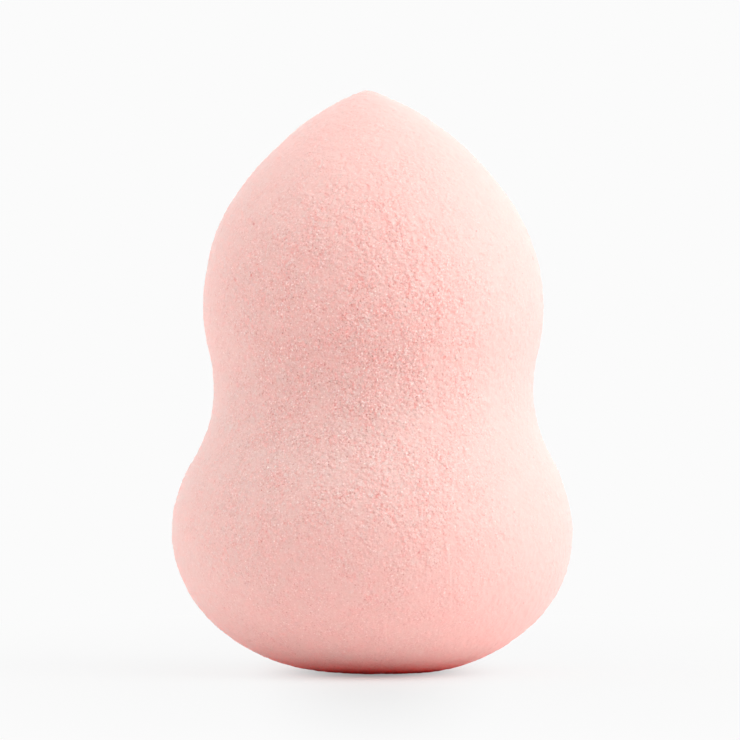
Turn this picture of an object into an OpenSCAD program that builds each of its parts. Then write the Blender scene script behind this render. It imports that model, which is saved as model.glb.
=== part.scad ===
// Gourd-shaped makeup sponge: one block of foam ground to a body of revolution.
// Millimetres. +Z runs up the axis to the tip, and the origin is the middle of the flat foot.
// The contour is a chain of arcs, each running smoothly into the next:
// base arc, lower lobe, waist, upper lobe, flank, tip.

/* [Foot] */
// Diameter of the flat that the sponge stands on
foot_d = 7.4; // [4:0.2:11]

/* [Lower lobe] */
// Diameter of the lower lobe at its widest
lower_d = 41.2; // [38:0.2:47]
// Height of the lower lobe's widest ring above the foot
lower_z = 14.5; // [13.6:0.1:16.4]
// Radius of the arc that rounds the lower lobe
lower_arc = 13.2; // [10:0.1:14]

/* [Waist] */
// Radius of the hollow arc between the lobes
waist_arc = 15; // [9:0.5:24]

/* [Upper lobe] */
// Diameter of the upper lobe at its widest
upper_d = 35; // [31:0.2:39]
// Height of the upper lobe's widest ring above the lower lobe's
upper_rise = 23.2; // [20:0.1:27]
// Radius of the arc that rounds the upper lobe
upper_arc = 19.5; // [17:0.1:21]

/* [Tip] */
// Height of the tip above the upper lobe's widest ring
tip_rise = 22.3; // [20:0.1:26]
// Radius of the arc that leads from the upper lobe up to the tip
flank_arc = 31; // [26:0.5:45]
// Radius that rounds off the tip
tip_arc = 1; // [0.5:0.1:2]

/* [Smoothness] */
// Facets round the sponge
facets = 160; // [60:20:240]

/* [Hidden] */

foam_colour = [0.95, 0.74, 0.70];

// How far the section's raw shapes run past the axis, the foot and the tip before they are trimmed
overrun = 1;
// How deep a joining arc passes into the round it joins, so that the two cross and don't just touch
lap = 0.0005;

// Heights of the rings
upper_z = lower_z + upper_rise;
sponge_h = upper_z + tip_rise;

// The three rounds that the joining arcs run between, as [distance from the axis, height]
lower_c = [lower_d / 2 - lower_arc, lower_z];
upper_c = [upper_d / 2 - upper_arc, upper_z];
tip_c = [0, sponge_h - tip_arc];

// The joining arcs: the foot's edge to the lower lobe, lobe to lobe, and the upper lobe to the tip
foot_edge = [foot_d / 2, 0];
base_arc = arc_on_floor(foot_edge.x, lower_c, lower_arc - lap);
base_c = [foot_edge.x, base_arc];
waist_c = meet(lower_c, waist_arc + lower_arc - lap, upper_c, waist_arc + upper_arc - lap);
flank_c = meet(tip_c, flank_arc - tip_arc + lap, upper_c, flank_arc - upper_arc + lap);

// The point at the distance r from a, on the line from a through b
function along(a, b, r) = a + (b - a) * r / norm(b - a);

// The point at the distance ra from a and rb from b, to the right of the way from a to b
function meet(a, ra, b, rb) =
    let (
        gap = norm(b - a),
        way = (b - a) / gap,
        reach = (gap * gap + ra * ra - rb * rb) / (2 * gap),
        aside = sqrt(ra * ra - reach * reach)
    )
    a + way * reach + [way.y, -way.x] * aside;

// Radius of the arc that leaves the floor at foot_r and runs into the round r about c
function arc_on_floor(foot_r, c, r) =
    (pow(c.x - foot_r, 2) + c.y * c.y - r * r) / (2 * (c.y - r));

module disc(c, r) {
    translate(c) circle(r);
}

// The slice of a disc between the directions of the points a and b
module slice(c, r, a, b) {
    intersection() {
        disc(c, r);
        polygon([c, along(c, a, 2 * r), along(c, b, 2 * r)]);
    }
}

// The section's rounds and joining arcs, before they are trimmed at the axis
module whole_section() {
    difference() {
        union() {
            square([foot_edge.x, upper_z]);
            slice(base_c, base_arc, foot_edge, lower_c);
            disc(lower_c, lower_arc);
            polygon([lower_c, waist_c, upper_c]);
            disc(upper_c, upper_arc);
            slice(flank_c, flank_arc, upper_c, tip_c);
            disc(tip_c, tip_arc);
        }
        disc(waist_c, waist_arc);
    }
}

module half_section() {
    intersection() {
        whole_section();
        translate([0, -overrun]) square([lower_d, sponge_h + 2 * overrun]);
    }
}

module foam_body() {
    color(foam_colour)
        rotate_extrude($fn = facets)
            half_section($fn = facets);
}

foam_body();
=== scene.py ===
import math
import random

import bmesh
import bpy
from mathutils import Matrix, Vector, kdtree, noise
from mathutils.bvhtree import BVHTree


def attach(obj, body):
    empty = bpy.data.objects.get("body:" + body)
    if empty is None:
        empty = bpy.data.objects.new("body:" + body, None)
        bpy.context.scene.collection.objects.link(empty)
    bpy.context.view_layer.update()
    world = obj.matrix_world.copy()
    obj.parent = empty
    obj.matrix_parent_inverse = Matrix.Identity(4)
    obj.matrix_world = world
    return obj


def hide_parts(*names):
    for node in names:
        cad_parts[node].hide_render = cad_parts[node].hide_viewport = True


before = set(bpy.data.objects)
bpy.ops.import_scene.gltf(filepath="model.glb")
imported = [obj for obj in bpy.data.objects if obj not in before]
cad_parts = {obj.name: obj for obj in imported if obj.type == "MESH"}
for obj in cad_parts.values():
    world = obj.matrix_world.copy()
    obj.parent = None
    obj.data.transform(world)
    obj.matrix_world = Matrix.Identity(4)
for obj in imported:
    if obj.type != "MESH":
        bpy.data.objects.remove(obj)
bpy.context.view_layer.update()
scene = bpy.context.scene
mm = 0.001

# Metres throughout. The sponge stands on z = 0 with its axis on z, and the camera looks along +y.


def newObject(name, data):
    made = bpy.data.objects.new(name, data)
    scene.collection.objects.link(made)
    return made


def applyModifiers(piece):
    depsgraph = bpy.context.evaluated_depsgraph_get()
    finished = bpy.data.meshes.new_from_object(piece.evaluated_get(depsgraph))
    piece.modifiers.clear()
    piece.data = finished
    finished.name = piece.name


def wire(tree, kind, inputs=None, **settings):
    # one node, its settings and what its inputs hold or read
    made = tree.nodes.new(kind)
    for key, value in settings.items():
        setattr(made, key, value)
    for key, value in (inputs or {}).items():
        if isinstance(value, bpy.types.NodeSocket):
            tree.links.new(value, made.inputs[key])
        else:
            made.inputs[key].default_value = value
    return made


# Camera

cameraSettings = {
    "distance": 600 * mm,  # from the lens to the sponge's axis
    "middle": (-0.33 * mm, 31.1 * mm),  # x and z that the middle of the picture looks at
    "seen": 76.2 * mm,  # width of the view at the axis
    "clip": (10 * mm, 10),
}


def makeCamera(settings):
    data = bpy.data.cameras.new("camera")
    data.lens = data.sensor_width * settings["distance"] / settings["seen"]
    data.clip_start, data.clip_end = settings["clip"]
    x, z = settings["middle"]
    made = newObject("camera", data)
    made.location = (x, -settings["distance"], z)
    made.rotation_euler = (math.radians(90), 0, 0)
    scene.camera = made


makeCamera(cameraSettings)
print("camera is in place")


# Foam material

foamColour = {
    "hollow": (0.826, 0.48, 0.423, 1),  # foam between the grains: its own pink, darkened with painted shade of the pores
    "crest": (0.911, 0.77, 0.738, 1),  # tops of the grains: pale, with painted light on them
    "pitShade": (0.62, 0.20, 0.17, 1),  # painted shade down in a burst cell
    "underGlow": (1.25, 0.94, 0.94, 1),  # times this on the underside: painted red glow of light that comes through the foam and off the floor
    "underGlowTo": 14.0 * mm,  # height where that painted glow has quite ended
    "footShade": (1.0, 0.25, 0.22, 1),  # times this near the foot: painted dark red shade where the foam meets the floor
    "footShadeTo": 2.7 * mm,  # height where that ends
    "contact": (0.5, 0.2, 0.2, 1),  # times this right at the floor, where no light gets in
    "contactTo": 1.0 * mm,
    "grain": 0.26 * mm,  # how wide a grain of the ground surface is
    "grainNoise": {"Detail": 2.0, "Roughness": 0.7, "Distortion": 0.4},
    "fibre": 0.15 * mm,  # how wide the cut walls of the cells are
    "fibreNoise": {"Detail": 0.0, "Distortion": 0.6},
    "gains": (1.5, 1.05),  # how soon each of the two takes the colour to the hollow's or the crest's
    "noiseMiddle": 0.5,  # the value that the two of them vary around
    "crispness": (0.31, 15.0),  # what small departures from it count for, and how fast larger ones gain
    "level": 0.5,  # where the colour lies between the hollow's and the crest's without any grain
    "fibreShade": 0.27,  # how much painted shade and light the walls add to it too
    "shade": 0.93,  # what is left of it where they do neither
    "patch": 2.5 * mm,  # how wide the patches are that came out rougher or smoother
    "patchNoise": {"Detail": 2.0},
    "patchEnds": (0.3, 0.7),  # what the noise reaches in the smoothest and the roughest of them
    "patchRange": (0.6, 1.4),  # how strong the grain is in those two
    "strongGrainSide": (-0.25, -0.97, 0),  # where the grain is strongest, and on the far side too
    "sideGrain": 0.27,  # how strong it is on the flanks between, where the grain, with its painted shade and light, is kept weaker
    "sideEnds": (0.2, 0.9),  # squared cosine of the turn from the coarse side, on the flanks and near it
    "lowGrain": (0.4, 0 * mm, 28 * mm),  # at the foot, and the heights between which it grows to the full
    "tipGrain": (0.1, 60 * mm, 38 * mm),  # at the tip
    "relief": (0.6 * mm, 0.42 * mm),  # height and width of the soft bumps between coarse cells
    "reliefNoise": {"Detail": 1.0, "Roughness": 0.5},
    "cell": 0.8 * mm,  # how far apart the small burst cells lie
    "cellChance": (0.5, 1),  # half of them stay closed, and the rest widen up to the radius below
    "cellRadius": 0.09 * mm,
    "cellEdge": 0.05,  # how soft their edges are, as a share of how far apart they lie
    "cellShade": 0.6,  # how near they come to the painted pit shade
    "cellSink": -0.5,  # how deep they go, in heights of the soft bumps
    "roughness": ((-0.3, 0.3), (0.8, 0.45)),  # how low or high a grain is, and how rough it is then
    "gloss": 0.3,
    "refraction": 1.45,
    "scatterShare": 0.8,  # how much of the light goes in and comes out elsewhere
    "scatter": (1.0, 0.005, 0.005),  # how far red, green and blue light travel inside, as shares
    "scatterDepth": 30.0 * mm,
}


def makeFoamMaterial(s):
    material = bpy.data.materials.new("groundFoam")
    material.use_nodes = True
    tree = material.node_tree
    tree.nodes.clear()

    def reckon(kind, a, b, c=0):
        return wire(tree, "ShaderNodeMath", {0: a, 1: b, 2: c}, operation=kind).outputs[0]

    def spread(value, fromRange, toRange):
        return wire(tree, "ShaderNodeMapRange", {
            "Value": value, "From Min": fromRange[0], "From Max": fromRange[1],
            "To Min": toRange[0], "To Max": toRange[1]}).outputs[0]

    def vectorMath(kind, a, b):
        # scaled by a number, or joined with another vector
        second = "Scale" if kind == "SCALE" else 1
        return wire(tree, "ShaderNodeVectorMath", {0: a, second: b}, operation=kind).outputs

    def cloud(width, look):
        inputs = {"Vector": inMm, "Scale": mm / width, **look}
        return wire(tree, "ShaderNodeTexNoise", inputs).outputs["Fac"]

    def crisp(value):
        # how far above or below its middle, with small departures made less and large ones more
        least, growth = s["crispness"]
        off = reckon("SUBTRACT", value, s["noiseMiddle"])
        gain = reckon("MULTIPLY_ADD", reckon("MULTIPLY", off, off), growth, least)
        return reckon("MULTIPLY", off, gain)

    coords = wire(tree, "ShaderNodeTexCoord").outputs
    inMm = vectorMath("SCALE", coords["Object"], 1 / mm)[0]

    # how strong the grain is: it comes in patches, and less on the flanks, low down and at the tip
    above = wire(tree, "ShaderNodeSeparateXYZ", {0: coords["Object"]}).outputs["Z"]
    level = vectorMath("MULTIPLY", coords["Object"], (1, 1, 0))[0]
    outward = wire(tree, "ShaderNodeVectorMath", {0: level}, operation="NORMALIZE").outputs[0]
    facing = vectorMath("DOT_PRODUCT", outward, s["strongGrainSide"])["Value"]
    strength = spread(reckon("MULTIPLY", facing, facing), s["sideEnds"], (s["sideGrain"], 1))
    for share, least, full in (s["lowGrain"], s["tipGrain"]):
        strength = reckon("MULTIPLY", strength, spread(above, (least, full), (share, 1)))
    patch = spread(cloud(s["patch"], s["patchNoise"]), s["patchEnds"], s["patchRange"])
    strength = reckon("MULTIPLY", strength, patch)

    # the grains, and the finer walls of the cells cut through
    height = crisp(cloud(s["grain"], s["grainNoise"]))
    walls = crisp(cloud(s["fibre"], s["fibreNoise"]))
    # their swing between hollow and crest is partly the grain's own tone, partly painted shade and light
    both = reckon("MULTIPLY_ADD", height, s["gains"][0], reckon("MULTIPLY", walls, s["gains"][1]))
    grain = reckon("MULTIPLY_ADD", both, strength, s["level"])
    shade = reckon("MULTIPLY_ADD", reckon("MULTIPLY", walls, s["fibreShade"]), strength, s["shade"])

    # burst cells: the fine ones from a cell pattern, each with a chance width, the rest carved in the mesh
    cells = wire(tree, "ShaderNodeTexVoronoi", {
        "Vector": inMm, "Scale": mm / s["cell"], "Randomness": 1.0})
    chance = wire(tree, "ShaderNodeSeparateColor", {0: cells.outputs["Color"]}).outputs[0]
    width = spread(chance, s["cellChance"], (0, s["cellRadius"] / s["cell"]))
    inside = reckon("SUBTRACT", width, cells.outputs["Distance"])
    fine = spread(inside, (0, s["cellEdge"]), (0, s["cellShade"]))
    carved = wire(tree, "ShaderNodeAttribute", attribute_name="pore").outputs["Fac"]

    skin = wire(tree, "ShaderNodeMix", {
        "Factor": grain, 6: s["hollow"], 7: s["crest"]}, data_type="RGBA").outputs[2]
    skin = vectorMath("SCALE", skin, shade)[0]
    # painted light and shade low down: the red glow on the underside, dark red shade at the foot, darker
    # still at the floor
    for tint in ("underGlow", "footShade", "contact"):
        share = spread(above, (0, s[tint + "To"]), (1, 0))
        skin = wire(tree, "ShaderNodeMix", {
            "Factor": reckon("MULTIPLY", share, share), 6: skin, 7: s[tint]},
            data_type="RGBA", blend_type="MULTIPLY", clamp_result=True).outputs[2]
    # burst cells, fine and carved, take the painted pit shade
    colour = wire(tree, "ShaderNodeMix", {
        "Factor": reckon("MAXIMUM", fine, carved), 6: skin, 7: s["pitShade"]}, data_type="RGBA").outputs[2]
    relief, reliefWidth = s["relief"]
    swells = cloud(reliefWidth, s["reliefNoise"])
    raised = reckon("MULTIPLY_ADD", swells, strength, reckon("MULTIPLY", fine, s["cellSink"]))
    bump = wire(tree, "ShaderNodeBump", {"Height": raised, "Strength": 1.0, "Distance": relief})

    shader = wire(tree, "ShaderNodeBsdfPrincipled", {
        "Base Color": colour, "Roughness": spread(height, *s["roughness"]), "Normal": bump.outputs[0],
        "IOR": s["refraction"], "Specular IOR Level": s["gloss"],
        "Subsurface Weight": s["scatterShare"], "Subsurface Radius": s["scatter"],
        "Subsurface Scale": s["scatterDepth"]})
    out = wire(tree, "ShaderNodeOutputMaterial")
    tree.links.new(shader.outputs[0], out.inputs["Surface"])
    return material


# Foam body

foamBody = {
    "weld": 0.002 * mm,  # corners of the solid's triangles nearer than this are one
    "voxel": 0.207 * mm,  # the surface's mesh
    "quickVoxels": 3,
    "smoothing": (10, 0.5),  # rounds, and how far each goes
    "swell": (0.10 * mm, 14 * mm),  # long, shallow unevenness of the grinding: height and width
    "ripple": (0.03 * mm, 2.2 * mm),
    "grain": (0.07 * mm, 0.6 * mm),  # the coarser of the grains
    "uneven": [
        # height, and how far the photographed sponge stands to the right and outward of the solid there
        (0 * mm, 0.08 * mm, 0 * mm),
        (5 * mm, 0.09 * mm, -0.08 * mm),
        (8.5 * mm, 0.03 * mm, -0.03 * mm),
        (14 * mm, -0.09 * mm, 0.02 * mm),
        (18.5 * mm, -0.14 * mm, -0.05 * mm),
        (22 * mm, -0.04 * mm, 0.10 * mm),
        (27 * mm, 0.02 * mm, -0.03 * mm),
        (32 * mm, 0.06 * mm, -0.01 * mm),
        (40 * mm, 0 * mm, 0 * mm),
        (47 * mm, -0.16 * mm, 0.09 * mm),
        (54 * mm, -0.22 * mm, 0.11 * mm),
        (57.5 * mm, -0.44 * mm, 0.13 * mm),
        (60 * mm, -0.60 * mm, -0.02 * mm),
    ],
    "burstCells": [
        # those that the photograph shows: degrees round from the camera's side, height, radius, depth
        (-50, 45.9 * mm, 0.20 * mm, 0.22 * mm),
        (76, 42.5 * mm, 0.20 * mm, 0.20 * mm),
        (-26, 58.1 * mm, 0.14 * mm, 0.07 * mm),
        (25, 57.6 * mm, 0.14 * mm, 0.07 * mm),
        (-23, 55.6 * mm, 0.14 * mm, 0.07 * mm),
        (31, 55.3 * mm, 0.14 * mm, 0.07 * mm),
        (-14, 49.3 * mm, 0.15 * mm, 0.08 * mm),
        (10, 48.7 * mm, 0.15 * mm, 0.08 * mm),
        (-41, 48.3 * mm, 0.15 * mm, 0.08 * mm),
        (-12, 39.9 * mm, 0.15 * mm, 0.08 * mm),
        (-10, 33.2 * mm, 0.15 * mm, 0.10 * mm),
        (36, 26.5 * mm, 0.16 * mm, 0.10 * mm),
        (-39, 23.9 * mm, 0.16 * mm, 0.10 * mm),
        (-14, 22.3 * mm, 0.16 * mm, 0.10 * mm),
        (-27, 18.6 * mm, 0.16 * mm, 0.10 * mm),
        (1, 18.6 * mm, 0.16 * mm, 0.10 * mm),
        (20, 14.8 * mm, 0.15 * mm, 0.08 * mm),
        # nicks on the outline
        (-90, 46.1 * mm, 0.30 * mm, 0.15 * mm),
        (84, 3.2 * mm, 0.45 * mm, 0.18 * mm),
        (80, 1.8 * mm, 0.50 * mm, 0.20 * mm),
        (85, 1.1 * mm, 0.40 * mm, 0.15 * mm),
    ],
    "otherCells": 70,  # shallow ones by chance, all round
    "otherRadius": (0.12 * mm, 0.18 * mm),
    "otherDepth": (0.04 * mm, 0.09 * mm),
    "seed": 11,
    "cellCurve": 1.5,  # how steeply a cell's wall goes down
    "fullDepth": 0.15 * mm,  # a cell as deep as this gets the full painted pit shade
    # UV map: heights where the foot's and the tip's disc end, mean radius of the band between them,
    # middles of the discs, corners of the whole
    "mapEnds": (7 * mm, 46 * mm),
    "mapRadius": 18 * mm,
    "mapDiscs": (Vector((-28, 69)) * mm, Vector((28, 69)) * mm),
    "mapBox": (Vector((-57.5, 6)) * mm, Vector((57.5, 91)) * mm),
}


def copyOfNode(nodeName, pieceName, weld):
    piece = newObject(pieceName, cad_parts[nodeName].data.copy())
    bm = bmesh.new()
    bm.from_mesh(piece.data)
    bmesh.ops.remove_doubles(bm, verts=bm.verts, dist=weld)
    bm.to_mesh(piece.data)
    bm.free()
    return piece


def smoothstep(low, high, x):
    t = min(max((x - low) / (high - low), 0), 1)
    return t * t * (3 - 2 * t)


def atHeight(rows, height):
    # what the rows say at a height, eased from one row to the next
    for low, high in zip(rows, rows[1:]):
        if height < high[0]:
            share = smoothstep(low[0], high[0], height)
            return [a + (b - a) * share for a, b in zip(low[1:], high[1:])]
    return rows[-1][1:]


def bumpiness(place, height, width):
    return height * noise.noise(place / width)


def burstCells(bm, s):
    # where each burst cell is, its radius and its depth
    surface = BVHTree.FromBMesh(bm)
    for around, height, radius, depth in s["burstCells"]:
        a = math.radians(around)
        out = Vector((math.sin(a), -math.cos(a), 0))
        place, _, _, _ = surface.ray_cast(Vector((0, 0, height)) + out, -out)
        yield place, radius, depth
    random.seed(s["seed"])
    for _ in range(s["otherCells"]):
        place = random.choice(bm.verts).co.copy()
        yield place, random.uniform(*s["otherRadius"]), random.uniform(*s["otherDepth"])


def carveCells(bm, pore, s):
    # each cell pulls the surface in and marks it for the material
    bm.verts.ensure_lookup_table()
    near = kdtree.KDTree(len(bm.verts))
    for v in bm.verts:
        near.insert(v.co, v.index)
    near.balance()
    for place, radius, depth in list(burstCells(bm, s)):
        _, index, _ = near.find(place)
        inward = -bm.verts[index].normal
        for _, index, away in near.find_range(place, radius):
            share = (1 - (away / radius) ** 2) ** s["cellCurve"]
            v = bm.verts[index]
            v.co += inward * depth * share
            v[pore] = max(v[pore], share * min(depth / s["fullDepth"], 1))


def mapFoam(bm, s):
    # the side is a band with its seam at the back, and the foot and the tip are discs above it
    layer = bm.loops.layers.uv.new("OFBake")
    tip = max((v.co for v in bm.verts), key=lambda co: co.z).copy()
    low, high = s["mapBox"]
    for face in bm.faces:
        middle = face.calc_center_median()
        turn = math.atan2(middle.x, -middle.y)
        for loop in face.loops:
            co = loop.vert.co
            if middle.z < s["mapEnds"][0]:
                spot = s["mapDiscs"][0] + Vector((co.x, -co.y)).normalized() * co.length
            elif middle.z > s["mapEnds"][1]:
                out = co - tip
                spot = s["mapDiscs"][1] + out.xy.normalized() * out.length
            else:
                a = math.atan2(co.x, -co.y)
                a += 2 * math.pi * round((turn - a) / (2 * math.pi))
                spot = Vector((a * s["mapRadius"], co.z))
            loop[layer].uv = ((spot.x - low.x) / (high.x - low.x), (spot.y - low.y) / (high.y - low.y))


def makeFoamBody(s):
    piece = copyOfNode("foam_body", "spongeFoam", s["weld"])
    remesh = piece.modifiers.new("evenFaces", "REMESH")
    remesh.mode = "VOXEL"
    remesh.voxel_size = s["voxel"] * 1
    remesh.use_smooth_shade = True
    applyModifiers(piece)

    bm = bmesh.new()
    bm.from_mesh(piece.data)
    pore = bm.verts.layers.float.new("pore")
    rounds, share = s["smoothing"]
    for _ in range(rounds):
        bmesh.ops.smooth_vert(
            bm, verts=bm.verts, factor=share, use_axis_x=True, use_axis_y=True, use_axis_z=True)
    bm.normal_update()
    shifts = []
    for v in bm.verts:
        side, out = atHeight(s["uneven"], v.co.z)
        for scale in ("swell", "ripple", "grain"):
            out += bumpiness(v.co, *s[scale])
        shifts.append(v.normal * out + Vector((side, 0, 0)))
    for v, shift in zip(bm.verts, shifts):
        v.co += shift
    bm.normal_update()
    carveCells(bm, pore, s)
    for v in bm.verts:
        v.co.z = max(v.co.z, 0)  # the foot is pressed flat on what it stands on
    mapFoam(bm, s)
    bm.to_mesh(piece.data)
    bm.free()
    for face in piece.data.polygons:
        face.use_smooth = True
    piece.data.materials.clear()
    piece.data.materials.append(makeFoamMaterial(foamColour))
    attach(piece, "root")
    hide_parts("foam_body")
    print("foam body has", len(piece.data.polygons), "faces")


makeFoamBody(foamBody)


# Floor, backdrop and light

stageSettings = {
    "floorRadius": 4.0,
    "floorSides": 64,
    "shadeEnds": 150 * mm,  # how far in front of and behind the sponge the floor's own shading shows
    # how many times nearer the shading and its faint rest end at the sides, and the white over each
    "shading": [(11, 0.36), (2, 0.87)],
    "shownFloor": (0.675, 0.675, 0.675, 1),
    "litFloor": (0.99, 0.92, 0.92, 1),  # with the blush that it catches from the foam
    "white": 0.965,  # what the picture's plain background shows
    "surround": 0.466,  # light of the white room on the sponge
}


def makeFloor(s):
    # near the sponge the camera sees the lit floor with its shadow, and further out the plain white
    bm = bmesh.new()
    bmesh.ops.create_circle(bm, cap_ends=True, segments=s["floorSides"], radius=s["floorRadius"])
    data = bpy.data.meshes.new("floor")
    bm.to_mesh(data)
    bm.free()
    floor = newObject("floor", data)
    material = bpy.data.materials.new("paleFloor")
    material.use_nodes = True
    tree = material.node_tree
    tree.nodes.clear()
    place = wire(tree, "ShaderNodeTexCoord").outputs["Object"]
    far = 1.0
    for narrow, white in s["shading"]:
        near = wire(tree, "ShaderNodeVectorMath", {0: place, 1: (narrow, 1, 1)}, operation="MULTIPLY")
        away = wire(tree, "ShaderNodeVectorMath", {0: near.outputs[0]}, operation="LENGTH")
        covered = wire(tree, "ShaderNodeMapRange", {
            "Value": away.outputs["Value"], "From Max": s["shadeEnds"], "To Min": white, "To Max": 1.0},
            interpolation_type="SMOOTHSTEP").outputs[0]
        far = wire(tree, "ShaderNodeMath", {0: covered, 1: far}, operation="MULTIPLY").outputs[0]
    shown = wire(tree, "ShaderNodeBsdfDiffuse", {"Color": s["shownFloor"]}).outputs[0]
    plain = wire(tree, "ShaderNodeEmission", {"Color": (1, 1, 1, 1), "Strength": s["white"]}).outputs[0]
    seen = wire(tree, "ShaderNodeMixShader", {0: far, 1: shown, 2: plain}).outputs[0]
    lit = wire(tree, "ShaderNodeBsdfDiffuse", {"Color": s["litFloor"]}).outputs[0]
    camera = wire(tree, "ShaderNodeLightPath").outputs["Is Camera Ray"]
    mix = wire(tree, "ShaderNodeMixShader", {0: camera, 1: lit, 2: seen})
    out = wire(tree, "ShaderNodeOutputMaterial")
    tree.links.new(mix.outputs[0], out.inputs["Surface"])
    data.materials.append(material)


def makeWorld(s):
    world = bpy.data.worlds.new("whiteRoom")
    scene.world = world
    world.use_nodes = True
    tree = world.node_tree
    tree.nodes.clear()
    rays = wire(tree, "ShaderNodeLightPath").outputs
    seen = rays["Is Camera Ray"]
    for ray in ("Is Glossy Ray", "Is Transmission Ray"):
        seen = wire(tree, "ShaderNodeMath", {0: seen, 1: rays[ray]}, operation="MAXIMUM").outputs[0]
    plain = wire(tree, "ShaderNodeBackground", {"Color": (1, 1, 1, 1), "Strength": s["white"]})
    glow = wire(tree, "ShaderNodeBackground", {"Color": (1, 1, 1, 1), "Strength": s["surround"]})
    mix = wire(tree, "ShaderNodeMixShader", {0: seen, 1: glow.outputs[0], 2: plain.outputs[0]})
    out = wire(tree, "ShaderNodeOutputWorld")
    tree.links.new(mix.outputs[0], out.inputs["Surface"])


lamps = {
    # degrees round from the camera's side and degrees above level, seen from the sponge, and watts
    "rightHigh": (60, 38, 1.27),
    "topFront": (40, 72, 0.55),
    "left": (-90, 20, 0.76),
    "right": (90, 5, 0.50),
    "back": (180, 12, 0.60),
}
lampSettings = {"distance": 450 * mm, "width": 400 * mm, "target": Vector((0, 0, 30 * mm))}


def makeLamp(name, around, above, power, s):
    data = bpy.data.lights.new(name, "AREA")
    data.shape = "SQUARE"
    data.size = s["width"]
    data.energy = power
    lamp = newObject(name, data)
    a, e = math.radians(around), math.radians(above)
    out = Vector((math.sin(a) * math.cos(e), -math.cos(a) * math.cos(e), math.sin(e)))
    lamp.location = s["target"] + out * s["distance"]
    lamp.rotation_euler = (-out).to_track_quat("-Z", "Y").to_euler()
    lamp.visible_camera = False


makeFloor(stageSettings)
makeWorld(stageSettings)
for name, (azimuth, above, power) in lamps.items():
    makeLamp(name, azimuth, above, power, lampSettings)
scene.view_settings.view_transform = "Standard"
print("stage is lit")
